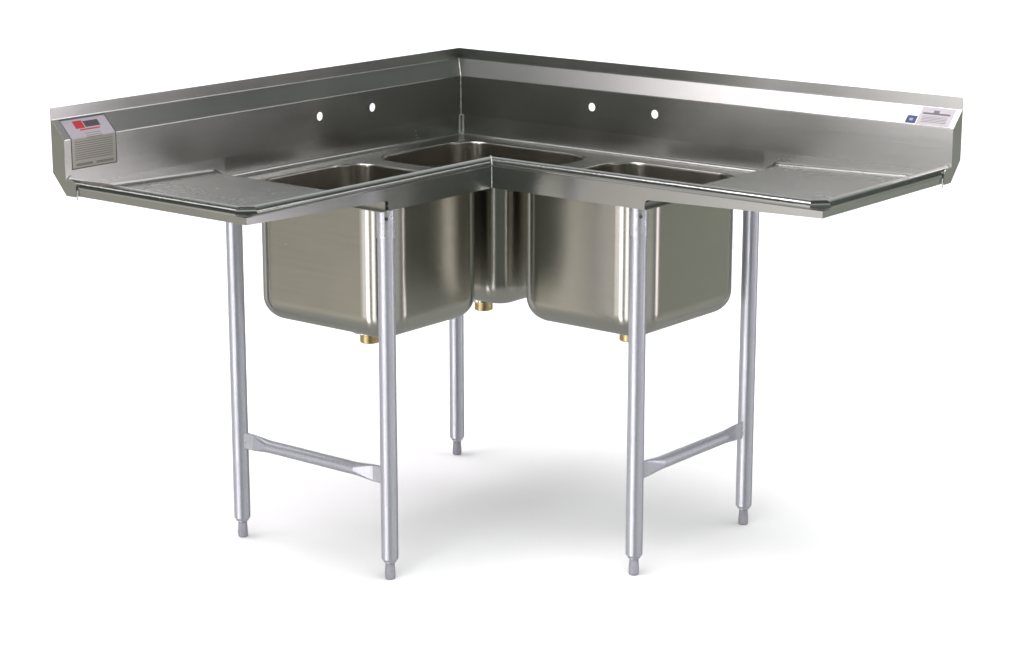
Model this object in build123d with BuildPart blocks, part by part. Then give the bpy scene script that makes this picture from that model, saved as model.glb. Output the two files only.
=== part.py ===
"""Corner three compartment sink: coved L-shaped pan, deep drawn bowls, tube legs, basket drains.

Millimetres, +Z up. The origin is on the floor under the middle of the sink's bounding box. The room's
corner is at -X +Y: the right wing runs along the +Y wall towards +X, and the left wing runs along the
-X wall towards -Y. Places on the plan are given as u, the distance from the -X wall, and v, the
distance from the +Y wall.
"""
from build123d import *
import math
import os

os.makedirs("parts", exist_ok=True)

# ---- driving dimensions ----
RIGHT_WING = 1560.0       # length along the +Y wall
LEFT_WING = 1470.0        # length along the -X wall
DEPTH = 625.0             # wall to the front of the rolled rim
TOP = 1150.0              # top of the backsplash
DECK = 917.0              # deck around the bowls
RIM_TOP = 988.0           # crest of the rolled rim
SHEET = 2.0               # 14 gauge sheet

SPLASH_DEPTH = 44.0       # wall to the face of the backsplash
UPTURN = 28.0             # vertical edge above the backsplash's slope
BEND = 4.0                # outside radius of the splash bends

ROLL_HALF = 19.0          # half the width of the rolled rim
ROLL_RISE = 15.0          # height of the roll above its widest level
ROLL_CURL = 15.0          # degrees that the roll turns under
CORNER_CUT = 22.0         # chamfer of the rim's centre line at a front corner
RIM_INSET = 3.0           # rim's outer face inside the end of the wing

COVE = 10.0               # radius between floor and walls of the pan
CORNER_COVE = 14.0        # radius between two of its walls
BOARD_STEP = 23.0         # drainboard above the deck, where it starts
BOARD_RISE = 14.0         # further rise to its outer end
RAMP = 32.0               # length of the slope from the deck up to a drainboard
RAMP_BEND = 20.0
RAMP_LEAD = 6.0           # level sheet between a drainboard's seam and its ramp
SKIRT_INSET = 2.6         # skirt's face inside the roll's widest line
SKIRT_DROP = 4.9          # skirt's top below the roll's widest level
SKIRT_LAP = 3.0           # deep skirt below the deck's top
SKIRT_LEAD = 4.0          # skirt's step beyond the head of the ramp
SKIRT_STEP_RADIUS = 12.0

BOWL_WIDTH = 382.0        # along the wing
BOWL_REACH = 445.0        # front to back
BOWL_DEPTH = 343.0
BOWL_BACK = 115.0         # wall to the bowls' back edge
BOWL_CORNER = 76.0
BOWL_FLOOR_RADIUS = 58.0
LIP = 8.0                 # flat rim of the bowl, let into the deck
LIP_RADIUS = 6.0
LEFT_GAP = 71.0           # between the corner bowl and the left bowl
RIGHT_GAP = 85.0

FAUCET_SPACING = 203.2    # 8 inch centres
FAUCET_HOLE = 11.1        # radius
FAUCET_Z = 1034.0
LEFT_FAUCET = 512.0       # middle of the pair from the room's corner
RIGHT_FAUCET = 597.0

TUBE = 20.65              # leg tube radius, 1-5/8 inch
TUBE_WALL = 1.6
TUBE_FOOT = 44.0          # lower end of the leg tube
SOCKET = 22.4
SOCKET_LENGTH = 68.0
FOOT_RADIUS = 12.7
FOOT_STEM = 8.0
RAIL_Z = 259.0
RAIL = 15.9               # cross rail tube radius, 1-1/4 inch
RAIL_FLAT = 43.0          # height of a rail's flattened end

# ---- derived levels and lines ----
ROLL_BASE = RIM_TOP - ROLL_RISE
ROLL_LINE = DEPTH - ROLL_HALF
TROUGH_FRONT = DEPTH - 2 * ROLL_HALF
BOARD_LOW = DECK + BOARD_STEP
BOARD_HIGH = BOARD_LOW + BOARD_RISE
BOWL_FLOOR = DECK - BOWL_DEPTH
SKIRT_OUT = ROLL_HALF - SKIRT_INSET
SKIRT_TOP = ROLL_BASE - SKIRT_DROP
BOWL_FRONT = BOWL_BACK + BOWL_REACH
CORNER_BOWL_END = BOWL_BACK + BOWL_WIDTH
LEFT_BOWL_START = CORNER_BOWL_END + LEFT_GAP
LEFT_BOWL_END = LEFT_BOWL_START + BOWL_WIDTH
RIGHT_BOWL_START = BOWL_FRONT + RIGHT_GAP
RIGHT_BOWL_END = RIGHT_BOWL_START + BOWL_WIDTH
MID_REACH = BOWL_BACK + BOWL_REACH / 2


def x_at(u):
    return u - RIGHT_WING / 2


def y_at(v):
    return LEFT_WING / 2 - v


def point(u, v, z=0.0):
    return (x_at(u), y_at(v), z)


def save(piece, name):
    """Name a finished piece and write it."""
    piece.label = name
    export_step(piece, f"parts/{name}.step")


class Wing:
    """One arm of the L, with planes square to it and along it.

    across(s) is the section plane at distance s from the room's corner: its x is the distance out
    from the wall. facing(d) is the plane at distance d out from the wall: its x is the distance from
    the corner. Both have z up as their y. along and out are the signs of an extrusion that goes away
    from the corner and away from the wall.
    """

    def __init__(self, name, length, bowl_end):
        self.name = name
        self.length = length
        self.end = length - RIM_INSET
        self.seam = bowl_end + LIP + 1
        self.ramp_foot = self.seam + RAMP_LEAD
        self.ramp_head = self.ramp_foot + RAMP
        self.skirt_step = self.ramp_head + SKIRT_LEAD
        self.board_end = self.end - 2 * ROLL_HALF
        self.roll_end = self.end - ROLL_HALF
        self.is_left = name == "left"
        self.along = 1 if self.is_left else -1
        self.out = -self.along

    def place(self, s, d):
        """u and v of the point s from the corner and d out from the wall."""
        return (d, s) if self.is_left else (s, d)

    def across(self, s):
        if self.is_left:
            return Plane(origin=point(0, s), x_dir=(1, 0, 0), z_dir=(0, -1, 0))
        return Plane(origin=point(s, 0), x_dir=(0, -1, 0), z_dir=(-1, 0, 0))

    def facing(self, d):
        if self.is_left:
            return Plane(origin=point(d, 0), x_dir=(0, -1, 0), z_dir=(-1, 0, 0))
        return Plane(origin=point(0, d), x_dir=(1, 0, 0), z_dir=(0, -1, 0))

    def beyond(self, s):
        """Plane at s whose upper side is the wing's outer end."""
        return Plane(origin=point(*self.place(s, 0)), z_dir=(0, -1, 0) if self.is_left else (1, 0, 0))

    def mitre(self, d):
        """Upright diagonal plane through the L, with this wing on its upper side."""
        side = -1 if self.is_left else 1
        return Plane(origin=point(d, d), z_dir=(side, side, 0))

    def floor_height(self, s):
        """Height of the ramp's or the drainboard's top at s."""
        if s < self.ramp_head:
            return DECK + BOARD_STEP * max(0, s - self.ramp_foot) / RAMP
        run = self.board_end - self.ramp_head
        return BOARD_LOW + BOARD_RISE * (s - self.ramp_head) / run


LEFT = Wing("left", LEFT_WING, LEFT_BOWL_END)
RIGHT = Wing("right", RIGHT_WING, RIGHT_BOWL_END)
WINGS = (LEFT, RIGHT)


# ---- pan: deck, drainboards and the walls around them ----
def upright_at(edges, u, v):
    """The upright edges that stand at u, v."""
    spot = Vector(x_at(u), y_at(v))
    return [e for e in edges.filter_by(Axis.Z) if (Vector(e.center().X, e.center().Y) - spot).length < 1]


def low_edges(edges, keep):
    """Edges of the floor whose centre passes keep(u, v)."""
    low = [e for e in edges if e.bounding_box().max.Z < ROLL_BASE - 1]
    return [e for e in low if keep(e.center().X - x_at(0), y_at(0) - e.center().Y)]


def edges_at(edges, wing, s, d, z):
    """Edges whose middle is at a place on the wing."""
    spot = Vector(*point(*wing.place(s, d), z))
    return [e for e in edges if (e @ 0.5 - spot).length < 1]


def deck_space(grow):
    """Space over the level deck up to the roll, grown by grow; it runs past both seams."""
    back = SPLASH_DEPTH - grow
    front = TROUGH_FRONT + grow
    u_end = RIGHT.seam + COVE
    v_end = LEFT.seam + COVE
    plan = [(back, back), (u_end, back), (u_end, front), (front, front), (front, v_end), (back, v_end)]
    with BuildPart() as space:
        with BuildSketch(Plane.XY.offset(DECK - grow)):
            with BuildLine():
                Polyline(*[point(u, v)[:2] for u, v in plan], close=True)
            make_face()
        extrude(amount=ROLL_BASE - DECK + grow)
        fillet(upright_at(space.edges(), back, back), radius=CORNER_COVE + grow)
        fillet(upright_at(space.edges(), front, front), radius=COVE - grow)
        fillet(low_edges(space.edges(), lambda u, v: u < u_end - 1 and v < v_end - 1), radius=COVE + grow)
    return space.part


def board_space(wing, grow):
    """Space over a drainboard and its ramp up to the roll, grown by grow; it runs past the seam."""
    back = SPLASH_DEPTH - grow
    front = TROUGH_FRONT + grow
    start = wing.seam - 2 * COVE
    end = wing.board_end + grow
    cut = CORNER_CUT - (ROLL_HALF - grow) * (2 - math.sqrt(2))
    with BuildPart() as space:
        with BuildSketch(wing.facing(back)):
            with BuildLine():
                floor = FilletPolyline(
                    (start, DECK - grow),
                    (wing.ramp_foot, DECK - grow),
                    (wing.ramp_head, BOARD_LOW - grow),
                    (end, BOARD_HIGH - grow),
                    radius=RAMP_BEND,
                )
                Polyline(floor @ 1, (end, ROLL_BASE), (start, ROLL_BASE), floor @ 0)
            make_face()
        extrude(amount=wing.out * (front - back))
        chamfer(upright_at(space.edges(), *wing.place(end, front)), length=cut)
        fillet(upright_at(space.edges(), *wing.place(end, back)), radius=CORNER_COVE + grow)
        outer = end - 2 * COVE
        inner = SPLASH_DEPTH + COVE
        outside = TROUGH_FRONT - COVE

        def at_a_wall(u, v):
            s, d = (v, u) if wing.is_left else (u, v)
            return s > outer or (s > start + 1 and (d < inner or d > outside))

        fillet(low_edges(space.edges(), at_a_wall), radius=COVE + grow)
    return space.part


deck_skin = deck_space(SHEET)
deck_inside = deck_space(0)
BOWLS = {
    "left_bowl": (MID_REACH, LEFT_BOWL_START + BOWL_WIDTH / 2, BOWL_REACH, BOWL_WIDTH),
    "corner_bowl": (MID_REACH, BOWL_BACK + BOWL_WIDTH / 2, BOWL_REACH, BOWL_WIDTH),
    "right_bowl": (RIGHT_BOWL_START + BOWL_WIDTH / 2, MID_REACH, BOWL_WIDTH, BOWL_REACH),
}

with BuildPart() as bowl_deck:
    add(deck_skin)
    add(deck_inside, mode=Mode.SUBTRACT)
    for wing in WINGS:
        split(bisect_by=wing.beyond(wing.seam), keep=Keep.BOTTOM)
    for u, v, size_u, size_v in BOWLS.values():
        with BuildSketch(Plane(origin=point(u, v, DECK - 2 * SHEET))):
            RectangleRounded(size_u + 2 * LIP, size_v + 2 * LIP, BOWL_CORNER + LIP)
        extrude(amount=3 * SHEET, mode=Mode.SUBTRACT)
save(bowl_deck.part, "bowl_deck")

for wing in WINGS:
    board_skin = board_space(wing, SHEET)
    board_inside = board_space(wing, 0)
    with BuildPart() as drainboard:
        add(board_skin)
        add(board_inside, mode=Mode.SUBTRACT)
        split(bisect_by=wing.beyond(wing.seam), keep=Keep.TOP)
    save(drainboard.part, f"{wing.name}_drainboard")


# ---- bowls: deep drawn, with a lip let into the deck and a hole for the strainer ----
DRAIN_HOLE = 44.5


def bowl_space(u, v, size_u, size_v, grow):
    """Inside of a bowl, grown by grow, with the space over its rounded lip."""
    underside = DECK - grow
    with BuildPart() as space:
        with BuildSketch(Plane(origin=point(u, v, BOWL_FLOOR - grow))):
            RectangleRounded(size_u + 2 * grow, size_v + 2 * grow, BOWL_CORNER + grow)
        extrude(amount=BOWL_DEPTH)
        fillet(space.faces().sort_by(Axis.Z)[0].edges(), radius=BOWL_FLOOR_RADIUS + grow)
        with BuildSketch(Plane(origin=point(u, v, underside))):
            RectangleRounded(size_u + 2 * LIP, size_v + 2 * LIP, BOWL_CORNER + LIP)
        extrude(amount=LIP)
        reach_u = size_u / 2 + LIP - 1
        reach_v = size_v / 2 + LIP - 1
        throat = [
            e
            for e in space.edges().filter_by_position(Axis.Z, underside - 0.01, underside + 0.01)
            if abs((e @ 0).X - x_at(u)) < reach_u and abs((e @ 0).Y - y_at(v)) < reach_v
        ]
        fillet(throat, radius=LIP_RADIUS - grow)
    return space.part


for name, (u, v, size_u, size_v) in BOWLS.items():
    bowl_skin = bowl_space(u, v, size_u, size_v, SHEET)
    bowl_inside = bowl_space(u, v, size_u, size_v, 0)
    with BuildPart() as bowl:
        add(bowl_skin)
        add(bowl_inside, mode=Mode.SUBTRACT)
        split(bisect_by=Plane(origin=(0, 0, DECK)), keep=Keep.BOTTOM)
        with BuildSketch(Plane(origin=point(u, v, BOWL_FLOOR - 2 * SHEET))):
            Circle(DRAIN_HOLE)
        extrude(amount=3 * SHEET, mode=Mode.SUBTRACT)
    save(bowl.part, name)


# ---- rolled rim: one roll round each wing's end and front, mitred at the inner corner ----
ROLL_START = SPLASH_DEPTH + SHEET
for wing in WINGS:
    corner_s = wing.roll_end - CORNER_CUT
    corner_d = ROLL_LINE - CORNER_CUT
    overrun = ROLL_LINE - 2 * ROLL_HALF
    route = [
        point(*wing.place(wing.roll_end, ROLL_START), ROLL_BASE),
        point(*wing.place(wing.roll_end, corner_d), ROLL_BASE),
        point(*wing.place(corner_s, ROLL_LINE), ROLL_BASE),
        point(*wing.place(overrun, ROLL_LINE), ROLL_BASE),
    ]
    with BuildPart() as rim:
        with BuildLine() as line:
            Polyline(*route)
        with BuildSketch(wing.facing(ROLL_START)):
            with Locations((wing.roll_end, ROLL_BASE)):
                Ellipse(ROLL_HALF, ROLL_RISE)
                Ellipse(ROLL_HALF - SHEET, ROLL_RISE - SHEET, mode=Mode.SUBTRACT)
            with BuildLine():
                reach = 2 * ROLL_HALF
                curl = (wing.roll_end + reach, ROLL_BASE - reach * math.tan(math.radians(ROLL_CURL)))
                below = ROLL_BASE - reach
                inward = wing.roll_end - reach
                Polyline(
                    (wing.roll_end, ROLL_BASE), curl, (curl[0], below), (inward, below), (inward, ROLL_BASE),
                    close=True,
                )
            make_face(mode=Mode.SUBTRACT)
        sweep(path=line.line, transition=Transition.RIGHT)
        split(bisect_by=wing.mitre(ROLL_LINE), keep=Keep.TOP)
    save(rim.part, f"{wing.name}_rim")


# ---- skirts: flat sheet under the roll, deep in front of the bowls, shallow along the drainboard ----
SKIRT_LINE = ROLL_LINE + SKIRT_OUT
LEDGE = CORNER_CUT + ROLL_HALF
for wing in WINGS:
    skirt_end = wing.roll_end + SKIRT_OUT
    shallow = wing.floor_height(wing.skirt_step) - SHEET
    low_end = BOARD_HIGH - SHEET
    with BuildPart() as skirt:
        with BuildSketch(wing.facing(SKIRT_LINE)):
            with BuildLine():
                Polyline(
                    (SKIRT_LINE - 2 * SHEET, SKIRT_TOP),
                    (SKIRT_LINE - 2 * SHEET, DECK - SKIRT_LAP),
                    (wing.skirt_step, DECK - SKIRT_LAP),
                    (wing.skirt_step, shallow),
                    (skirt_end, low_end),
                    (skirt_end, SKIRT_TOP),
                    close=True,
                )
            make_face()
        extrude(amount=-wing.out * SHEET)
        inner_corner = edges_at(skirt.edges(), wing, wing.skirt_step, SKIRT_LINE - SHEET / 2, shallow)
        fillet(inner_corner, radius=SKIRT_STEP_RADIUS)
        with BuildSketch(wing.across(skirt_end)):
            with BuildLine():
                Polyline(
                    (SPLASH_DEPTH, SKIRT_TOP),
                    (SPLASH_DEPTH, low_end),
                    (SKIRT_LINE, low_end),
                    (SKIRT_LINE, SKIRT_TOP),
                    close=True,
                )
            make_face()
        extrude(amount=-wing.along * SHEET)
        with BuildSketch(Plane.XY.offset(SKIRT_TOP - 2 * SHEET)):
            with BuildLine():
                cut_s = skirt_end - LEDGE
                cut_d = SKIRT_LINE - LEDGE
                ledge = [(skirt_end, SKIRT_LINE), (cut_s, SKIRT_LINE), (skirt_end, cut_d)]
                Polyline(*[point(*wing.place(s, d))[:2] for s, d in ledge], close=True)
            make_face()
        extrude(amount=SHEET)
        split(bisect_by=wing.mitre(SKIRT_LINE), keep=Keep.TOP)
    save(skirt.part, f"{wing.name}_skirt")


# ---- backsplash: upturned top edge, 45 degree slope and face, mitred in the room's corner ----
SLOPE_TOP = TOP - UPTURN
SLOPE_FOOT = SLOPE_TOP - (SPLASH_DEPTH - SHEET)
BEND_SHIFT = SHEET * math.tan(math.radians(22.5))
for wing in WINGS:
    faucet = LEFT_FAUCET if wing.is_left else RIGHT_FAUCET
    with BuildPart() as splash:
        with BuildSketch(wing.across(0)):
            with BuildLine():
                front = FilletPolyline(
                    (SHEET, TOP), (SHEET, SLOPE_TOP), (SPLASH_DEPTH, SLOPE_FOOT), (SPLASH_DEPTH, ROLL_BASE),
                    radius=BEND,
                )
                rear = FilletPolyline(
                    (0, TOP), (0, SLOPE_TOP - BEND_SHIFT), (SPLASH_DEPTH - SHEET, SLOPE_FOOT - BEND_SHIFT),
                    (SPLASH_DEPTH - SHEET, ROLL_BASE),
                    radius=BEND,
                )
                Line(front @ 0, rear @ 0)
                Line(front @ 1, rear @ 1)
            make_face()
        extrude(amount=wing.along * (wing.length - SHEET))
        with BuildSketch(wing.facing(SPLASH_DEPTH)):
            with Locations((faucet - FAUCET_SPACING / 2, FAUCET_Z), (faucet + FAUCET_SPACING / 2, FAUCET_Z)):
                Circle(FAUCET_HOLE)
        extrude(amount=2 * SHEET, both=True, mode=Mode.SUBTRACT)
        split(bisect_by=wing.mitre(0), keep=Keep.TOP)
    save(splash.part, f"{wing.name}_backsplash")


# ---- end caps: plates that close the backsplash, with an ear beside the roll and a collar round it ----
CAP_BACK = 1000.0
CAP_FRONT = BOARD_HIGH - 2 * SHEET
EAR = 34.0
EAR_RADIUS = 14.0
COLLAR_HALF = 22.0
COLLAR_RISE = 24.0
for wing in WINGS:
    with BuildPart() as end_cap:
        with BuildSketch(wing.across(wing.length - SHEET)):
            with BuildLine():
                Polyline(
                    (0, TOP), (SHEET, TOP), (SHEET, SLOPE_TOP), (SPLASH_DEPTH, SLOPE_FOOT),
                    (SPLASH_DEPTH, RIM_TOP), (SPLASH_DEPTH + EAR, RIM_TOP), (SPLASH_DEPTH + EAR, CAP_FRONT),
                    (SPLASH_DEPTH, CAP_FRONT), (0, CAP_BACK), close=True,
                )
            make_face()
        extrude(amount=wing.along * SHEET)
        ear_tip = edges_at(end_cap.edges(), wing, wing.length - SHEET / 2, SPLASH_DEPTH + EAR, RIM_TOP)
        fillet(ear_tip, radius=EAR_RADIUS)
        with BuildSketch(wing.facing(SPLASH_DEPTH)):
            with Locations((wing.roll_end, ROLL_BASE)):
                Ellipse(COLLAR_HALF, COLLAR_RISE)
            with Locations((wing.roll_end, ROLL_BASE - COLLAR_RISE)):
                Rectangle(4 * COLLAR_HALF, 2 * COLLAR_RISE, mode=Mode.SUBTRACT)
        extrude(amount=wing.out * SHEET)
    save(end_cap.part, f"{wing.name}_end_cap")


# ---- turned pieces: everything round about a plumb line ----
def turned_profile(u, v, z, outline):
    """Closed (radius, height) outline, upright, on the plumb line over (u, v), with heights from z."""
    upright = Plane(origin=point(u, v, z), x_dir=(1, 0, 0), z_dir=(0, -1, 0))
    with BuildSketch(upright) as profile:
        with BuildLine():
            Polyline(*outline, close=True)
        make_face()
    return profile.sketch


def plumb_line(u, v):
    return Axis(point(u, v, 0), (0, 0, 1))


# ---- legs: galvanised tube, swaged in at the foot round a pressed-in bush with a bullet foot ----
LEGS = {
    "left_wall": (92.0, 981.0),
    "left_front": (594.0, 981.0),
    "corner": (62.0, 90.0),
    "right_front": (1038.0, 588.0),
    "right_wall": (1038.0, 100.0),
}
LEG_TOP = DECK - SHEET - 4
SWAGE = 15.5
SWAGE_TOP = TUBE_FOOT + 2
SHOULDER = TUBE_FOOT + 9
BUSH_TOP = TUBE_FOOT + 26
FOOT_TOP = TUBE_FOOT - 0.4
FOOT_NECK = FOOT_RADIUS - 1.5
STEM_TOP = 95.0
STEM_GAP = 0.35

for name, (u, v) in LEGS.items():
    inside = TUBE - TUBE_WALL
    swage_inside = SWAGE - TUBE_WALL
    with BuildPart() as leg:
        tube = [
            (SWAGE, TUBE_FOOT), (SWAGE, SWAGE_TOP), (TUBE, SHOULDER), (TUBE, LEG_TOP),
            (inside, LEG_TOP), (inside, SHOULDER), (swage_inside, SWAGE_TOP), (swage_inside, TUBE_FOOT),
        ]
        revolve(turned_profile(u, v, 0, tube), axis=plumb_line(u, v))
    save(leg.part, f"{name}_leg")

    with BuildPart() as bush:
        ring = [
            (FOOT_STEM + STEM_GAP, TUBE_FOOT), (swage_inside, TUBE_FOOT),
            (swage_inside, BUSH_TOP), (FOOT_STEM + STEM_GAP, BUSH_TOP),
        ]
        revolve(turned_profile(u, v, 0, ring), axis=plumb_line(u, v))
    save(bush.part, f"{name}_bush")

    with BuildPart() as foot:
        bullet = [
            (0, 0), (FOOT_RADIUS - 4, 0), (FOOT_RADIUS - 1, 2), (FOOT_RADIUS, 6), (FOOT_RADIUS, 16),
            (FOOT_NECK, FOOT_TOP - 6), (FOOT_NECK, FOOT_TOP), (FOOT_STEM, FOOT_TOP),
            (FOOT_STEM, STEM_TOP - 1), (FOOT_STEM - 1, STEM_TOP), (0, STEM_TOP),
        ]
        revolve(turned_profile(u, v, 0, bullet), axis=plumb_line(u, v))
    save(foot.part, f"{name}_foot")


# ---- leg sockets: a sleeve on a plate under the deck, slotted, with a set screw on the outer side ----
SLEEVE_INSIDE = TUBE + 0.15
SLEEVE_TOP = DECK - SHEET - 3
SLEEVE_FOOT = SLEEVE_TOP - SOCKET_LENGTH
PLATE_HALF = 24.0
PLATE_CORNER = 6.0
SCREW = 4.0
SCREW_GAP = 0.2
SCREW_Z = 893.0
SLOT_Z = 874.0
SLOT_LENGTH = 16.0
SLOT_WIDTH = 4.0
SCREW_OUT = 27.5
SCREW_KEY = 2.0
FACING_OUT = (1, -1, 0)

with BuildPart() as set_screws:
    for u, v in LEGS.values():
        outward = Plane(origin=point(u, v, SCREW_Z), x_dir=(0, 0, 1), z_dir=FACING_OUT)
        with BuildSketch(outward.offset(SLEEVE_INSIDE)):
            Circle(SCREW)
        extrude(amount=SCREW_OUT - SLEEVE_INSIDE)
        with BuildSketch(outward.offset(SCREW_OUT)):
            RegularPolygon(SCREW_KEY, 6)
        extrude(amount=-SCREW_KEY, mode=Mode.SUBTRACT)
save(set_screws.part, "set_screws")

for name, (u, v) in LEGS.items():
    with BuildPart() as socket:
        sleeve = [
            (SLEEVE_INSIDE, SLEEVE_FOOT), (SOCKET, SLEEVE_FOOT),
            (SOCKET, SLEEVE_TOP), (SLEEVE_INSIDE, SLEEVE_TOP),
        ]
        revolve(turned_profile(u, v, 0, sleeve), axis=plumb_line(u, v))
        with BuildSketch(Plane(origin=point(u, v, SCREW_Z), x_dir=(0, 0, 1), z_dir=FACING_OUT)):
            Circle(SCREW + SCREW_GAP)
            with Locations((SLOT_Z - SCREW_Z, 0)):
                SlotOverall(SLOT_LENGTH, SLOT_WIDTH)
        extrude(amount=SCREW_OUT, mode=Mode.SUBTRACT)
        with BuildSketch(Plane(origin=point(u, v, SLEEVE_TOP))):
            RectangleRounded(2 * PLATE_HALF, 2 * PLATE_HALF, PLATE_CORNER)
        extrude(amount=SHEET)
    save(socket.part, f"{name}_socket")


# ---- cross members: angles under the foot of each drainboard, beside the legs' plates ----
CROSS_FLANGE = 16.0
CROSS_GAP = 0.2
CROSS_FROM = 60.0
CROSS_TO = 616.0
for wing, leg_name in ((LEFT, "left_front"), (RIGHT, "right_front")):
    leg_s = max(LEGS[leg_name])
    s_web = leg_s + PLATE_HALF + CROSS_GAP
    roof = wing.floor_height(s_web) - SHEET - 3
    with BuildPart() as cross_member:
        with BuildSketch(wing.across(s_web)):
            with Locations(((CROSS_FROM + CROSS_TO) / 2, (SLEEVE_TOP + roof) / 2)):
                Rectangle(CROSS_TO - CROSS_FROM, roof - SLEEVE_TOP)
        extrude(amount=wing.along * SHEET)
        with BuildSketch(wing.across(s_web)):
            with Locations(((CROSS_FROM + CROSS_TO) / 2, SLEEVE_TOP + SHEET / 2)):
                Rectangle(CROSS_TO - CROSS_FROM, SHEET)
        extrude(amount=wing.along * CROSS_FLANGE)
    save(cross_member.part, f"{wing.name}_cross_member")


# ---- cross rails: tube between the two end legs, flattened at both ends and coped to the legs ----
RAIL_WALL = 1.5
RAIL_THIN = 8.0
RAIL_OVAL = 0.2           # a rail's height over its width between the tapers
FLAT = 28.0
TAPER = 55.0


def rail_solid(wing, s, d_from, d_to, grow):
    """Rail along the depth of the wing, with its flattened ends and tapers, grown by grow."""
    flat = (RAIL_FLAT + 2 * grow, RAIL_THIN + 2 * grow)
    full = (2 * (RAIL + grow) + RAIL_OVAL, 2 * (RAIL + grow))
    flat_from, flat_to = d_from + TUBE + FLAT, d_to - TUBE - FLAT
    sections = [
        (d_from, flat), (flat_from, flat), (flat_from + TAPER, full),
        (flat_to - TAPER, full), (flat_to, flat), (d_to, flat),
    ]
    pieces = []
    for start, end in zip(sections, sections[1:]):
        with BuildPart() as piece:
            for d, size in (start, end):
                with BuildSketch(wing.facing(d)):
                    with Locations((s, RAIL_Z)):
                        SlotOverall(*size, rotation=90)
            loft(ruled=True)
        pieces.append(piece.part)
    with BuildPart() as solid:
        add(pieces)
    return solid.part


RAILS = {"left": ("left_wall", "left_front"), "right": ("right_wall", "right_front")}
for wing in WINGS:
    wall_leg, front_leg = (LEGS[name] for name in RAILS[wing.name])
    s = wall_leg[1] if wing.is_left else wall_leg[0]
    d_from, d_to = (wall_leg[0], front_leg[0]) if wing.is_left else (wall_leg[1], front_leg[1])
    rail_outside = rail_solid(wing, s, d_from, d_to, 0)
    rail_inside = rail_solid(wing, s, d_from, d_to, -RAIL_WALL)
    with BuildPart() as rail:
        add(rail_outside)
        add(rail_inside, mode=Mode.SUBTRACT)
        for u, v in (wall_leg, front_leg):
            with BuildSketch(Plane(origin=point(u, v, RAIL_Z - RAIL_FLAT))):
                Circle(TUBE)
            extrude(amount=2 * RAIL_FLAT, mode=Mode.SUBTRACT)
    save(rail.part, f"{wing.name}_cross_rail")


# ---- drains: strainer clamped to the bowl floor, brass outlet under it, lift-out basket in it ----
DRAIN = {
    "strainer": [
        (56, 2.5), (56, 0), (43.5, 0), (43.5, -38), (22, -38), (22, -48), (19.5, -48), (19.5, -35.5),
        (41, -35.5), (41, 2.5),
    ],
    "gasket": [(44, -2), (54, -2), (54, -5), (44, -5)],
    "locknut": [(43.6, -5), (52, -5), (52, -14), (43.6, -14)],
    "outlet": [(24.5, -38), (24.5, -64), (22.5, -66), (20, -66), (20, -48.2), (22.2, -48.2), (22.2, -38)],
    "basket": [
        (0, -35.2), (35.5, -35.2), (35.5, -8), (40.3, -8), (40.3, -6.5), (34, -6.5), (34, -33.7), (4, -33.7),
        (4, 6), (9, 7), (9, 11), (7, 12), (0, 12),
    ],
}
NUT_FOOT = 14.0           # locknut's underside below the bowl floor
NUT_HEIGHT = 9.0
LUGS = 8
LUG_MIDDLE = 53.0
LUG_LENGTH = 8.0
LUG_WIDTH = 9.0
BASKET_FLOOR = 36.0       # just under the basket's floor, below the bowl floor
BASKET_RINGS = ((12, 27.0), (8, 16.0))
BASKET_HOLE = 2.5
BASKET_SLOTS = 16
SLOT_FOOT = 27.0
SLOT_HEIGHT = 14.0
SLOT_OPENING = 4.0
BASKET_WALL = 35.0

for bowl_name, (u, v, _, _) in BOWLS.items():
    side = bowl_name.split("_")[0]
    axis = plumb_line(u, v)

    with BuildPart() as strainer:
        revolve(turned_profile(u, v, BOWL_FLOOR, DRAIN["strainer"]), axis=axis)
    save(strainer.part, f"{side}_strainer")

    with BuildPart() as gasket:
        revolve(turned_profile(u, v, BOWL_FLOOR, DRAIN["gasket"]), axis=axis)
    save(gasket.part, f"{side}_gasket")

    with BuildPart() as locknut:
        revolve(turned_profile(u, v, BOWL_FLOOR, DRAIN["locknut"]), axis=axis)
        with BuildSketch(Plane(origin=point(u, v, BOWL_FLOOR - NUT_FOOT))):
            with PolarLocations(LUG_MIDDLE, LUGS):
                Rectangle(LUG_LENGTH, LUG_WIDTH)
        extrude(amount=NUT_HEIGHT)
    save(locknut.part, f"{side}_locknut")

    with BuildPart() as outlet:
        revolve(turned_profile(u, v, BOWL_FLOOR, DRAIN["outlet"]), axis=axis)
    save(outlet.part, f"{side}_outlet")

    with BuildPart() as basket:
        revolve(turned_profile(u, v, BOWL_FLOOR, DRAIN["basket"]), axis=axis)
        with BuildSketch(Plane(origin=point(u, v, BOWL_FLOOR - BASKET_FLOOR))):
            for count, ring in BASKET_RINGS:
                with PolarLocations(ring, count):
                    Circle(BASKET_HOLE)
        extrude(amount=2 * SHEET, mode=Mode.SUBTRACT)
        with BuildSketch(Plane(origin=point(u, v, BOWL_FLOOR - SLOT_FOOT))):
            with PolarLocations(BASKET_WALL, BASKET_SLOTS):
                Rectangle(3 * SHEET, SLOT_OPENING)
        extrude(amount=SLOT_HEIGHT, mode=Mode.SUBTRACT)
    save(basket.part, f"{side}_basket")


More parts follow.
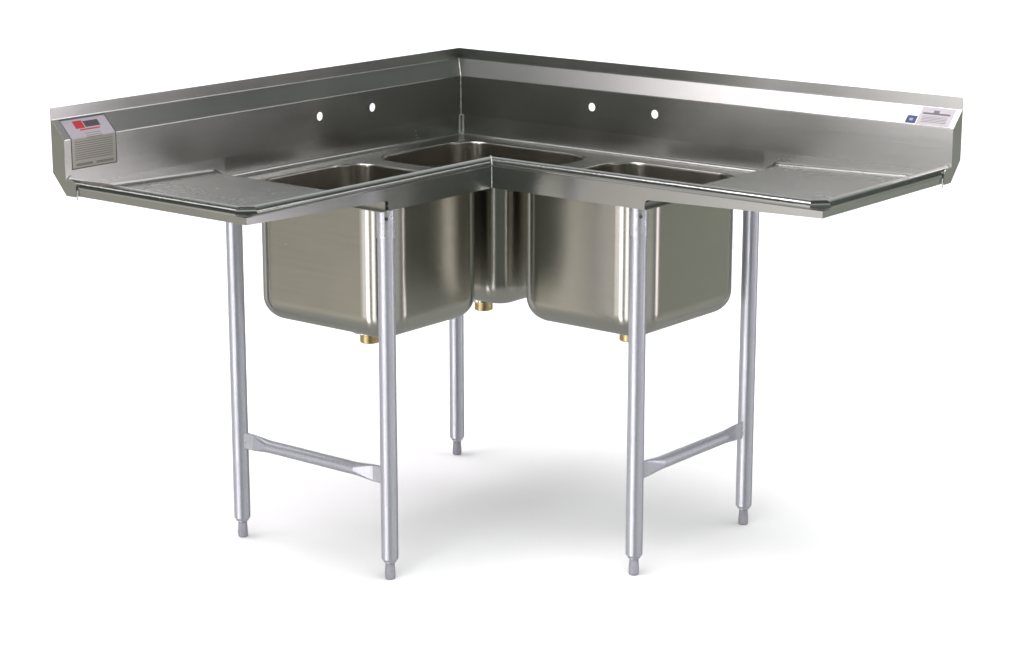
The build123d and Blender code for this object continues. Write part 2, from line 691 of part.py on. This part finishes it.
# ---- stiffeners: hat channels under the drainboards, following their fall ----
HAT_WIDTH = 60.0
HAT_DEPTH = 25.0
HAT_BRIM = 14.0
HAT_GAP = 0.2
HAT_FROM = 30.0           # from the head of the ramp
HAT_TO = 110.0            # from the outer end of the drainboard
for wing in WINGS:
    s_from, s_to = wing.ramp_head + HAT_FROM, wing.board_end - HAT_TO
    middle = (SPLASH_DEPTH + TROUGH_FRONT) / 2
    left_web = middle - HAT_WIDTH / 2
    strips = (
        (left_web - HAT_BRIM, HAT_BRIM, 0, SHEET),
        (left_web, SHEET, 0, HAT_DEPTH),
        (left_web + SHEET, HAT_WIDTH - 2 * SHEET, HAT_DEPTH - SHEET, HAT_DEPTH),
        (left_web + HAT_WIDTH - SHEET, SHEET, 0, HAT_DEPTH),
        (left_web + HAT_WIDTH, HAT_BRIM, 0, SHEET),
    )
    with BuildPart() as stiffener:
        for d, width, upper, lower in strips:
            roof_from = wing.floor_height(s_from) - SHEET - HAT_GAP
            roof_to = wing.floor_height(s_to) - SHEET - HAT_GAP
            with BuildSketch(wing.facing(d)):
                with BuildLine():
                    Polyline(
                        (s_from, roof_from - upper), (s_to, roof_to - upper), (s_to, roof_to - lower),
                        (s_from, roof_from - lower), close=True,
                    )
                make_face()
            extrude(amount=wing.out * width)
    save(stiffener.part, f"{wing.name}_stiffener")


# ---- labels: thin plain stickers, one bent over the left splash and two on the right slope ----
LABEL = 0.4
LABEL_START = 1311.0      # left label's near edge from the room's corner
LABEL_LENGTH = 139.0
LABEL_FOOT = 1008.0
LABEL_HEAD = SHEET + 2
LABEL_SHIFT = LABEL * math.sin(math.radians(45))
LABEL_CORNER = 2.0
SLOPE_LABELS = {
    "right_label": (1457, 1546, 2.5, 56),
    "right_badge": (1428, 1455, 4, 27),
}
with BuildPart() as left_label:
    with BuildSketch(LEFT.across(LABEL_START)):
        with BuildLine():
            label_top = SLOPE_TOP + SHEET - LABEL_HEAD
            under = FilletPolyline(
                (SPLASH_DEPTH, LABEL_FOOT), (SPLASH_DEPTH, SLOPE_FOOT), (LABEL_HEAD, label_top), radius=BEND
            )
            over = FilletPolyline(
                (SPLASH_DEPTH + LABEL, LABEL_FOOT),
                (SPLASH_DEPTH + LABEL, SLOPE_FOOT + LABEL * math.tan(math.radians(22.5))),
                (LABEL_HEAD + LABEL_SHIFT, label_top + LABEL_SHIFT),
                radius=BEND + LABEL,
            )
            Line(under @ 0, over @ 0)
            Line(under @ 1, over @ 1)
        make_face()
    extrude(amount=LEFT.along * LABEL_LENGTH)
save(left_label.part, "left_label")

SLOPE_PLANE = Plane(
    origin=point(0, SPLASH_DEPTH, SLOPE_FOOT), x_dir=(1, 0, 0), z_dir=(0, -1, 1)
)
for label_name, (u_from, u_to, up_from, up_to) in SLOPE_LABELS.items():
    with BuildPart() as label:
        with BuildSketch(SLOPE_PLANE):
            with Locations(((u_from + u_to) / 2, (up_from + up_to) / 2)):
                RectangleRounded(u_to - u_from, up_to - up_from, LABEL_CORNER)
        extrude(amount=LABEL)
    save(label.part, label_name)
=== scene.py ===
"""Looks of a three compartment corner sink: brushed stainless steel on galvanised legs."""
import math

import bmesh
import bpy
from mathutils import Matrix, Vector


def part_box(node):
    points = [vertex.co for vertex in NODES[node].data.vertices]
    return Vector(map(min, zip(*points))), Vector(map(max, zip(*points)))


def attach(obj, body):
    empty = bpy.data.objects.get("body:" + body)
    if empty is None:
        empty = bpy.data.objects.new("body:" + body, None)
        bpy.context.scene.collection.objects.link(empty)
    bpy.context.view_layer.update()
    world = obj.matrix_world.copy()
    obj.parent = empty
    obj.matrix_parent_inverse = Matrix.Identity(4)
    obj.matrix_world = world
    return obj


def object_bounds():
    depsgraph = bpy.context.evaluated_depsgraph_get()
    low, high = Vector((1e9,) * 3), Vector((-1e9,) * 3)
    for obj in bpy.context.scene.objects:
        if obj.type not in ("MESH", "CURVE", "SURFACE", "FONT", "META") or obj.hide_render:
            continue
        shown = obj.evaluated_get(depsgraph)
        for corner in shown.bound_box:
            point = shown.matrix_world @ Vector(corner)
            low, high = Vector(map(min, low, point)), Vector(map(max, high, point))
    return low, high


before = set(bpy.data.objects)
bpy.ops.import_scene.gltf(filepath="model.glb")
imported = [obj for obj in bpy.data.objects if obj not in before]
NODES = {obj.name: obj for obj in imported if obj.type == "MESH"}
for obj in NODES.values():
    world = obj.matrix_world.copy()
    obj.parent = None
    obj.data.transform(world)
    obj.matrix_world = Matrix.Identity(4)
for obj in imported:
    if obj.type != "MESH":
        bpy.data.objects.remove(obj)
CAD_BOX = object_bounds()
STEEL = (0.56, 0.565, 0.54)


# ---- node helpers ----
def new_material(name):
    """An empty node material with its Principled shader and object coordinates."""
    material = bpy.data.materials.new(name)
    material.use_nodes = True
    nodes = material.node_tree.nodes
    shader = nodes["Principled BSDF"]
    coords = nodes.new("ShaderNodeTexCoord")
    return material, shader, coords.outputs["Object"]


def add_node(tree, kind, inputs=(), output=0, **settings):
    """Adds a node, sets it up, fills its inputs with links or values, and returns one output."""
    node = tree.nodes.new(kind)
    for name, value in settings.items():
        setattr(node, name, value)
    for index, value in enumerate(inputs):
        if isinstance(value, bpy.types.NodeSocket):
            tree.links.new(value, node.inputs[index])
        elif value is not None:
            node.inputs[index].default_value = value
    return node.outputs[output]


def stretched(material, coords, scale):
    """Coordinates scaled by one number for each axis."""
    return add_node(material.node_tree, "ShaderNodeMapping", (coords, None, None, scale))


def noise(material, vector, scale, detail=3.0, roughness=0.55):
    return add_node(material.node_tree, "ShaderNodeTexNoise", (vector, None, scale, detail, roughness))


def between(material, value, low, high, from_low=0.3, from_high=0.7):
    """Maps a texture's value onto a range."""
    return add_node(material.node_tree, "ShaderNodeMapRange", (value, from_low, from_high, low, high))


def mixed(material, factor, first, second):
    """Blends two colours; each is a socket or a plain colour."""
    node = material.node_tree.nodes.new("ShaderNodeMix")
    node.data_type = "RGBA"
    material.node_tree.links.new(factor, node.inputs["Factor"])
    for value, socket in ((first, node.inputs[6]), (second, node.inputs[7])):
        if isinstance(value, bpy.types.NodeSocket):
            material.node_tree.links.new(value, socket)
        else:
            socket.default_value = (*value, 1.0)
    return node.outputs[2]


def bumped(material, height, strength, distance):
    node = material.node_tree.nodes.new("ShaderNodeBump")
    node.inputs["Strength"].default_value = strength
    node.inputs["Distance"].default_value = distance
    material.node_tree.links.new(height, node.inputs["Height"])
    return node.outputs["Normal"]


def scaled(colour, factor):
    """A surface colour made lighter or darker, never past white."""
    return tuple(min(1.0, c * factor) for c in colour)


def glowing(colour, strength):
    """A light's colour times its strength."""
    return tuple(c * strength for c in colour)


# ---- materials ----
ALONG = {"x": (1, 0.04, 0), "y": (0.04, 1, 0)}     # just off the axis, so no face is square to it
GRAIN = {"x": (2.5, 150, 150), "y": (150, 2.5, 150), "round": (3, 3, 170)}
FINE = 2                  # fine scratches to one broad line


def brushed_steel(name, grain, tint=STEEL, rough=0.22, stretch=0.85):
    """Satin stainless sheet: highlights spread across the grain, with faint lines and smears."""
    material, shader, coords = new_material(name)
    tree = material.node_tree
    along_grain = stretched(material, coords, GRAIN[grain])
    lines = noise(material, along_grain, 1.0, 1.0)
    scratches = noise(material, along_grain, FINE, 1.0)
    smears = noise(material, coords, 3.4, 5.0, 0.6)
    body = mixed(material, between(material, smears, 0.0, 1.0), scaled(tint, 1.03), scaled(tint, 0.93))
    shade = mixed(material, between(material, lines, 0.0, 0.4), body, scaled(tint, 1.05))
    shade = mixed(material, between(material, scratches, 0.0, 0.15), shade, scaled(tint, 1.04))
    tree.links.new(shade, shader.inputs["Base Color"])
    shader.inputs["Metallic"].default_value = 1.0
    shader.inputs["Anisotropic"].default_value = stretch
    worn = between(material, smears, rough - 0.02, rough + 0.03)
    fine = between(material, lines, -0.005, 0.005)
    gloss = add_node(tree, "ShaderNodeMath", (worn, fine), operation="ADD")
    tree.links.new(gloss, shader.inputs["Roughness"])
    tree.links.new(bumped(material, lines, 0.05, 0.00003), shader.inputs["Normal"])
    normal = add_node(tree, "ShaderNodeNewGeometry", output="Normal")
    if grain == "round":
        across = add_node(tree, "ShaderNodeCombineXYZ", (0.0, 0.0, 1.0))
    else:
        run = add_node(tree, "ShaderNodeCombineXYZ", ALONG[grain])
        across = add_node(tree, "ShaderNodeVectorMath", (normal, run), operation="CROSS_PRODUCT")
    tree.links.new(across, shader.inputs["Tangent"])
    return material


def galvanised(name):
    """Zinc coated tube: bluish grey, faint spangles and streaks down its length."""
    material, shader, coords = new_material(name)
    link = material.node_tree.links.new
    spangle = material.node_tree.nodes.new("ShaderNodeTexVoronoi")
    spangle.inputs["Scale"].default_value = 130.0
    link(coords, spangle.inputs["Vector"])
    streaks = noise(material, stretched(material, coords, (160, 160, 5)), 1.0, 3.0)
    base = mixed(material, between(material, streaks, 0.0, 1.0), (0.66, 0.66, 0.72), (0.56, 0.57, 0.63))
    flakes = between(material, spangle.outputs["Distance"], 0.0, 0.35, 0.0, 0.8)
    link(mixed(material, flakes, base, (0.74, 0.74, 0.79)), shader.inputs["Base Color"])
    shader.inputs["Metallic"].default_value = 0.8
    link(between(material, streaks, 0.30, 0.42), shader.inputs["Roughness"])
    link(bumped(material, streaks, 0.06, 0.0005), shader.inputs["Normal"])
    return material


def plain_metal(name, colour, rough, metallic=1.0):
    """Machined or cast metal with a fine mottle."""
    material, shader, coords = new_material(name)
    link = material.node_tree.links.new
    mottle = noise(material, coords, 90.0, 4.0)
    dark = scaled(colour, 0.75)
    link(mixed(material, between(material, mottle, 0.0, 1.0), colour, dark), shader.inputs["Base Color"])
    shader.inputs["Metallic"].default_value = metallic
    link(between(material, mottle, rough - 0.07, rough + 0.1), shader.inputs["Roughness"])
    link(bumped(material, mottle, 0.1, 0.0004), shader.inputs["Normal"])
    return material


def plastic(name, colour, rough):
    """Moulded plastic or vinyl with a fine grain."""
    return plain_metal(name, colour, rough, metallic=0.0)


STEEL_X = brushed_steel("steel_along_right", "x")
STEEL_Y = brushed_steel("steel_along_left", "y")
RIM_X = brushed_steel("rim_right", "x", rough=0.15, stretch=0.4)
RIM_Y = brushed_steel("rim_left", "y", rough=0.15, stretch=0.4)
BOARD_X = brushed_steel("board_right", "x", rough=0.26)
BOARD_Y = brushed_steel("board_left", "y", rough=0.26)
DECK = brushed_steel("deck_steel", "x", rough=0.24, stretch=0.5)
BOWL = brushed_steel("bowl_steel", "round", tint=(0.57, 0.55, 0.49), rough=0.24, stretch=0.8)
FITTING = brushed_steel("fitting_steel", "round", rough=0.24, stretch=0.5)
ZINC = galvanised("zinc")
SOCKET = plain_metal("socket_steel", (0.72, 0.72, 0.77), 0.30, metallic=0.75)
SCREW = plain_metal("screw_steel", (0.66, 0.66, 0.67), 0.22)
BRASS = plain_metal("brass", (0.70, 0.55, 0.26), 0.33)
RUBBER = plastic("rubber", (0.03, 0.03, 0.03), 0.7)
FOOT = plastic("foot_grey", (0.33, 0.32, 0.37), 0.35)
BUSH = plastic("bush_grey", (0.08, 0.08, 0.09), 0.6)
WELD = plain_metal("weld_steel", (0.78, 0.77, 0.76), 0.26, metallic=0.6)

LOOKS = {
    "bowl_deck": DECK, "left_drainboard": BOARD_Y, "right_drainboard": BOARD_X,
    "left_rim": RIM_Y, "right_rim": RIM_X, "left_skirt": STEEL_Y, "right_skirt": STEEL_X,
    "left_backsplash": STEEL_Y, "right_backsplash": STEEL_X, "left_end_cap": STEEL_X,
    "right_end_cap": STEEL_Y, "left_stiffener": STEEL_Y, "right_stiffener": STEEL_X,
    "left_cross_member": STEEL_X, "right_cross_member": STEEL_Y, "set_screws": SCREW,
}
ENDINGS = {
    "_bowl": BOWL, "_leg": ZINC, "_cross_rail": ZINC, "_socket": SOCKET, "_bush": BUSH, "_foot": FOOT,
    "_strainer": FITTING, "_basket": FITTING, "_gasket": RUBBER, "_locknut": BRASS, "_outlet": BRASS,
}


# ---- label prints: plain blocks and fine lines, no lettering ----
def label_print(name, ground, blocks, across, up, rough=0.4):
    """A printed sticker. across and up give its own coordinates, 0 to 1 over its face.

    blocks are (left, right, foot, head, colour) rectangles in those coordinates; a block whose colour
    holds a fourth number is a field of that many fine lines.
    """
    material, shader, coords = new_material(name)
    tree = material.node_tree
    split = tree.nodes.new("ShaderNodeSeparateXYZ")
    tree.links.new(coords, split.inputs[0])
    axes = {axis: split.outputs[index] for index, axis in enumerate("XYZ")}
    place = [
        add_node(tree, "ShaderNodeMapRange", (axes[axis], start, end, 0.0, 1.0))
        for axis, start, end in (across, up)
    ]
    mottle = noise(material, coords, 160.0, 3.0)
    shade = mixed(material, between(material, mottle, 0.0, 1.0), ground, scaled(ground, 0.93))
    for left, right, foot, head, colour in blocks:
        inside = None
        for value, low, high in ((place[0], left, right), (place[1], foot, head)):
            above = add_node(tree, "ShaderNodeMath", (value, low), operation="GREATER_THAN")
            below = add_node(tree, "ShaderNodeMath", (value, high), operation="LESS_THAN")
            window = add_node(tree, "ShaderNodeMath", (above, below), operation="MULTIPLY")
            if inside is None:
                inside = window
            else:
                inside = add_node(tree, "ShaderNodeMath", (inside, window), operation="MULTIPLY")
        if len(colour) == 4:
            wave = add_node(tree, "ShaderNodeMath", (place[1], colour[3] * math.tau), operation="MULTIPLY")
            wave = add_node(tree, "ShaderNodeMath", (wave,), operation="SINE")
            wave = add_node(tree, "ShaderNodeMath", (wave, 0.1), operation="GREATER_THAN")
            inside = add_node(tree, "ShaderNodeMath", (inside, wave), operation="MULTIPLY")
        shade = mixed(material, inside, shade, colour[:3])
    tree.links.new(shade, shader.inputs["Base Color"])
    tree.links.new(between(material, mottle, rough - 0.05, rough + 0.08), shader.inputs["Roughness"])
    tree.links.new(bumped(material, mottle, 0.05, 0.0002), shader.inputs["Normal"])
    return material


INK = (0.05, 0.05, 0.06)
SOFT_INK = (0.17, 0.16, 0.15)
SLOPE_FOOT = 1.080        # height at which the left label bends over the splash's slope
low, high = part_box("left_label")
fold = (SLOPE_FOOT - low.z) / (high.z - low.z)
LOOKS["left_label"] = label_print(
    "left_print", (0.34, 0.32, 0.29),
    (
        (0.0, 1.0, fold, 1.0, (0.27, 0.25, 0.28)),
        (0.24, 0.44, 0.80, 0.94, (0.30, 0.02, 0.03)),
        (0.46, 0.78, 0.81, 0.92, (0.05, 0.04, 0.05)),
        (0.30, 0.74, 0.76, 0.785, (0.30, 0.03, 0.04)),
        (0.36, 0.70, 0.60, 0.72, (*SOFT_INK, 26)),
        (0.08, 0.92, 0.16, fold - 0.04, (*SOFT_INK, 22)),
        (0.10, 0.46, 0.06, 0.11, SOFT_INK), (0.54, 0.92, 0.06, 0.11, SOFT_INK),
        (0.0, 1.0, 0.0, 0.02, INK), (0.0, 1.0, 0.975, 1.0, INK),
        (0.0, 0.02, 0.0, 1.0, INK), (0.98, 1.0, 0.0, 1.0, INK),
    ),
    ("Y", low.y, high.y), ("Z", low.z, high.z),
)
low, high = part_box("right_label")
LOOKS["right_label"] = label_print(
    "right_print", (0.40, 0.37, 0.40),
    (
        (0.08, 0.90, 0.60, 0.70, (0.10, 0.09, 0.10)),
        (0.38, 0.56, 0.70, 0.84, (0.12, 0.11, 0.12)),
        (0.12, 0.86, 0.12, 0.52, (*SOFT_INK, 12)),
    ),
    ("X", low.x, high.x), ("Z", low.z, high.z),
)
low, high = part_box("right_badge")
LOOKS["right_badge"] = label_print(
    "badge_print", (0.02, 0.035, 0.12), ((0.32, 0.66, 0.34, 0.66, (0.22, 0.26, 0.38)),),
    ("X", low.x, high.x), ("Z", low.z, high.z),
)


def dress(node, material):
    mesh = NODES[node].data
    mesh.materials.clear()
    mesh.materials.append(material)


for node in NODES:
    ending = next((e for e in ENDINGS if node.endswith(e)), None)
    dress(node, LOOKS[node] if node in LOOKS else ENDINGS[ending])


# ---- welds: beads laid where two pieces are joined ----
def place(u, v, z):
    """Point at u from the left wall, v from the far wall and z above the floor, all in millimetres."""
    return Vector((CAD_BOX[0].x + u / 1000, CAD_BOX[1].y - v / 1000, z / 1000))


def weld(name, points, radius, closed=False):
    """A rippled bead of weld along a line through the points."""
    stops = list(points) + ([points[0]] if closed else [])
    path = []
    for start, end in zip(stops, stops[1:]):
        steps = max(1, round((end - start).length / (0.45 * radius)))
        path += [start.lerp(end, step / steps) for step in range(steps)]
    if not closed:
        path.append(stops[-1])
    mesh = bmesh.new()
    rings = []
    for index, centre in enumerate(path):
        before = path[index - 1] if closed or index else path[0]
        after = path[(index + 1) % len(path)] if closed or index + 1 < len(path) else path[-1]
        run = (after - before).normalized()
        side = run.orthogonal().normalized()
        over = run.cross(side)
        end_taper = 1.0 if closed or 0 < index < len(path) - 1 else 0.45
        size = radius * end_taper * (1.0 if index % 3 else 0.84)
        rings.append([
            mesh.verts.new(centre + size * (math.cos(turn) * side + math.sin(turn) * over))
            for turn in (math.tau * step / 8 for step in range(8))
        ])
    pairs = list(zip(rings, rings[1:])) + ([(rings[-1], rings[0])] if closed else [])
    for first, second in pairs:
        shift = min(range(8), key=lambda k: (first[0].co - second[k].co).length)
        for step in range(8):
            mesh.faces.new((
                first[step], first[(step + 1) % 8],
                second[(step + 1 + shift) % 8], second[(step + shift) % 8],
            ))
    if not closed:
        mesh.faces.new(reversed(rings[0]))
        mesh.faces.new(rings[-1])
    bmesh.ops.recalc_face_normals(mesh, faces=mesh.faces)
    data = bpy.data.meshes.new(name)
    mesh.to_mesh(data)
    mesh.free()
    for face in data.polygons:
        face.use_smooth = True
    data.materials.append(WELD)
    piece = bpy.data.objects.new(name, data)
    bpy.context.scene.collection.objects.link(piece)
    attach(piece, "frame")


SPLASH = 44               # wall to the splash's face
ROLL_LINE, ROLL_BASE = 606, 973
ROLL_HALF, ROLL_RISE = 19, 15
SKIRT = 622.4             # wall to the skirt's face
EAR = 77.5                # wall to the edge of an end cap's ear
RAIL_Z, RAIL_HALF_HEIGHT, RAIL_HALF_WIDTH = 259, 21.8, 4.6

up_the_corner = [place(SPLASH, SPLASH, 976), place(SPLASH, SPLASH, 1080), place(2.8, 2.8, 1121.5)]
weld("corner_weld", up_the_corner, 0.0014)
across_roll = []
for angle in range(170, -16, -15):
    turn = math.radians(angle)
    line = ROLL_LINE + ROLL_HALF * math.cos(turn)
    across_roll.append(place(line, line, ROLL_BASE + ROLL_RISE * math.sin(turn)))
weld("mitre_weld", across_roll, 0.0016)
weld("skirt_weld", [place(SKIRT, SKIRT, 966), place(SKIRT, SKIRT, 915)], 0.0012)
weld("left_ear_weld", [place(EAR, 1466, 943), place(EAR, 1466, 966)], 0.0022)
weld("right_ear_weld", [place(1556, EAR, 943), place(1556, EAR, 966)], 0.0022)
oval = []
for step in range(20):
    turn = math.tau * step / 20
    oval.append((RAIL_HALF_WIDTH * math.cos(turn), RAIL_Z + RAIL_HALF_HEIGHT * math.sin(turn)))
for end, u in (("back", 113.2), ("front", 572.8)):
    weld(f"left_rail_{end}_weld", [place(u, 981 + side, z) for side, z in oval], 0.0016, closed=True)
for end, v in (("back", 121.2), ("front", 566.8)):
    weld(f"right_rail_{end}_weld", [place(1038 + side, v, z) for side, z in oval], 0.0016, closed=True)


# ---- floor, light and camera ----
def floor():
    bpy.ops.mesh.primitive_plane_add(size=60, location=(0, 0, CAD_BOX[0].z))
    plane = bpy.context.object
    plane.name = "floor"
    material, shader, coords = new_material("floor")
    cloud = noise(material, coords, 0.6, 2.0)
    shade = mixed(material, between(material, cloud, 0.0, 1.0), (0.90, 0.90, 0.905), (0.885, 0.885, 0.89))
    material.node_tree.links.new(shade, shader.inputs["Base Color"])
    shader.inputs["Roughness"].default_value = 1.0
    shader.inputs["Specular IOR Level"].default_value = 0.0
    plane.data.materials.append(material)
    plane.visible_glossy = False


def hang_light(data, aim):
    """Places a light that dull surfaces see; the metal mirrors the studio around it instead."""
    light = bpy.data.objects.new(data.name, data)
    light.rotation_euler = Vector(aim).to_track_quat("-Z", "Y").to_euler()
    light.visible_glossy = False
    bpy.context.scene.collection.objects.link(light)
    return light


def lights():
    """A softbox in front, and even soft light from above that keeps the floor white."""
    above = bpy.data.lights.new("overhead", "SUN")
    above.energy = 3.4
    above.angle = math.radians(70)
    hang_light(above, (-0.25, 0.2, -1))
    front = bpy.data.lights.new("key", "AREA")
    front.shape = "RECTANGLE"
    front.size, front.size_y = 2.2, 1.6
    front.energy = 60
    hang_light(front, (-1.2, 4.2, -2.8)).location = (1.2, -4.2, 3.4)


def camera():
    data = bpy.data.cameras.new("camera")
    data.sensor_width = 36.0
    data.lens = 81.86
    data.clip_end = 100.0
    view = bpy.data.objects.new("camera", data)
    view.location = (3.324, -4.186, 1.928)
    yaw, pitch = math.radians(128.66), math.radians(13.95)
    forward = Vector((math.cos(yaw) * math.cos(pitch), math.sin(yaw) * math.cos(pitch), -math.sin(pitch)))
    view.rotation_euler = forward.to_track_quat("-Z", "Y").to_euler()
    bpy.context.scene.collection.objects.link(view)
    bpy.context.scene.camera = view


DIM = (0.070, 0.082, 0.073)
# azimuth, elevation, half width, half height, soft edge (degrees), colour, strength
PANELS = (
    (38, 8, 5, 22, 5, (1.00, 0.92, 1.00), 3.6),
    (-114, 10, 6, 24, 9, (1.00, 0.95, 0.99), 1.9),
    (-150, 69, 18, 12, 4, (1.00, 0.94, 0.98), 5.0),
    (68, 56, 12, 6, 5, (1.00, 0.96, 1.00), 1.2),
    (50, 29, 9, 4, 4, (1.00, 0.99, 0.97), 1.6),
    (-161, 41, 6, 4, 4, (1.00, 0.98, 0.98), 2.0),
    (-100, 0, 4, 32, 4, (1.00, 0.95, 0.98), 5.5),
    (-78, -8, 5, 20, 4, (0.97, 0.97, 1.00), 3.0),
    (-134, -16, 14, 12, 8, (1.00, 0.93, 0.82), 0.5),
    (62, -14, 8, 14, 8, (0.98, 1.00, 0.90), 0.35),
    (-172, -8, 14, 20, 12, (0.94, 0.94, 1.00), 0.7),
    (128, 10, 34, 30, 16, (0.96, 0.98, 1.00), 0.55),
    (0, 6, 22, 34, 14, (0.98, 0.99, 1.00), 0.45),
    (-60, 60, 24, 10, 12, (1.00, 0.99, 0.98), 0.6),
    (0, -90, 60, 60, 7, (0.97, 0.98, 1.00), 0.30),
)


def studio():
    """Dim greenish studio with soft bright panels around it, and a white backdrop."""
    world = bpy.data.worlds.new("studio")
    bpy.context.scene.world = world
    world.use_nodes = True
    tree = world.node_tree
    background = tree.nodes["Background"]
    direction = add_node(tree, "ShaderNodeTexCoord", output="Generated")
    total = DIM
    for azimuth, elevation, half_width, half_height, soft, colour, strength in PANELS:
        yaw, rise = math.radians(azimuth), math.radians(elevation)
        ahead = Vector((math.cos(yaw) * math.cos(rise), math.sin(yaw) * math.cos(rise), math.sin(rise)))
        right = Vector((math.sin(yaw), -math.cos(yaw), 0))
        up = right.cross(ahead)
        depth, side, height = (
            add_node(tree, "ShaderNodeVectorMath", (direction, tuple(v)), output=1, operation="DOT_PRODUCT")
            for v in (ahead, right, up)
        )
        share = add_node(tree, "ShaderNodeMath", (depth, 0.0), operation="GREATER_THAN")
        for offset, half in ((side, half_width), (height, half_height)):
            slope = add_node(tree, "ShaderNodeMath", (offset, depth), operation="DIVIDE")
            slope = add_node(tree, "ShaderNodeMath", (slope,), operation="ABSOLUTE")
            edge = math.tan(math.radians(half + soft))
            core = math.tan(math.radians(max(half - soft, 0)))
            window = add_node(
                tree, "ShaderNodeMapRange", (slope, core, edge, 1.0, 0.0), interpolation_type="SMOOTHSTEP"
            )
            share = add_node(tree, "ShaderNodeMath", (share, window), operation="MULTIPLY")
        glow = add_node(
            tree, "ShaderNodeVectorMath", (glowing(colour, strength), None, None, share), operation="SCALE"
        )
        total = add_node(tree, "ShaderNodeVectorMath", (total, glow), operation="ADD")
    sight = add_node(tree, "ShaderNodeLightPath", output="Is Camera Ray")
    mix = tree.nodes.new("ShaderNodeMix")
    mix.data_type = "RGBA"
    tree.links.new(sight, mix.inputs["Factor"])
    tree.links.new(total, mix.inputs[6])
    mix.inputs[7].default_value = (1.0, 1.0, 1.0, 1.0)
    tree.links.new(mix.outputs[2], background.inputs["Color"])


floor()
camera()
lights()
studio()
bpy.context.scene.view_settings.view_transform = "Standard"
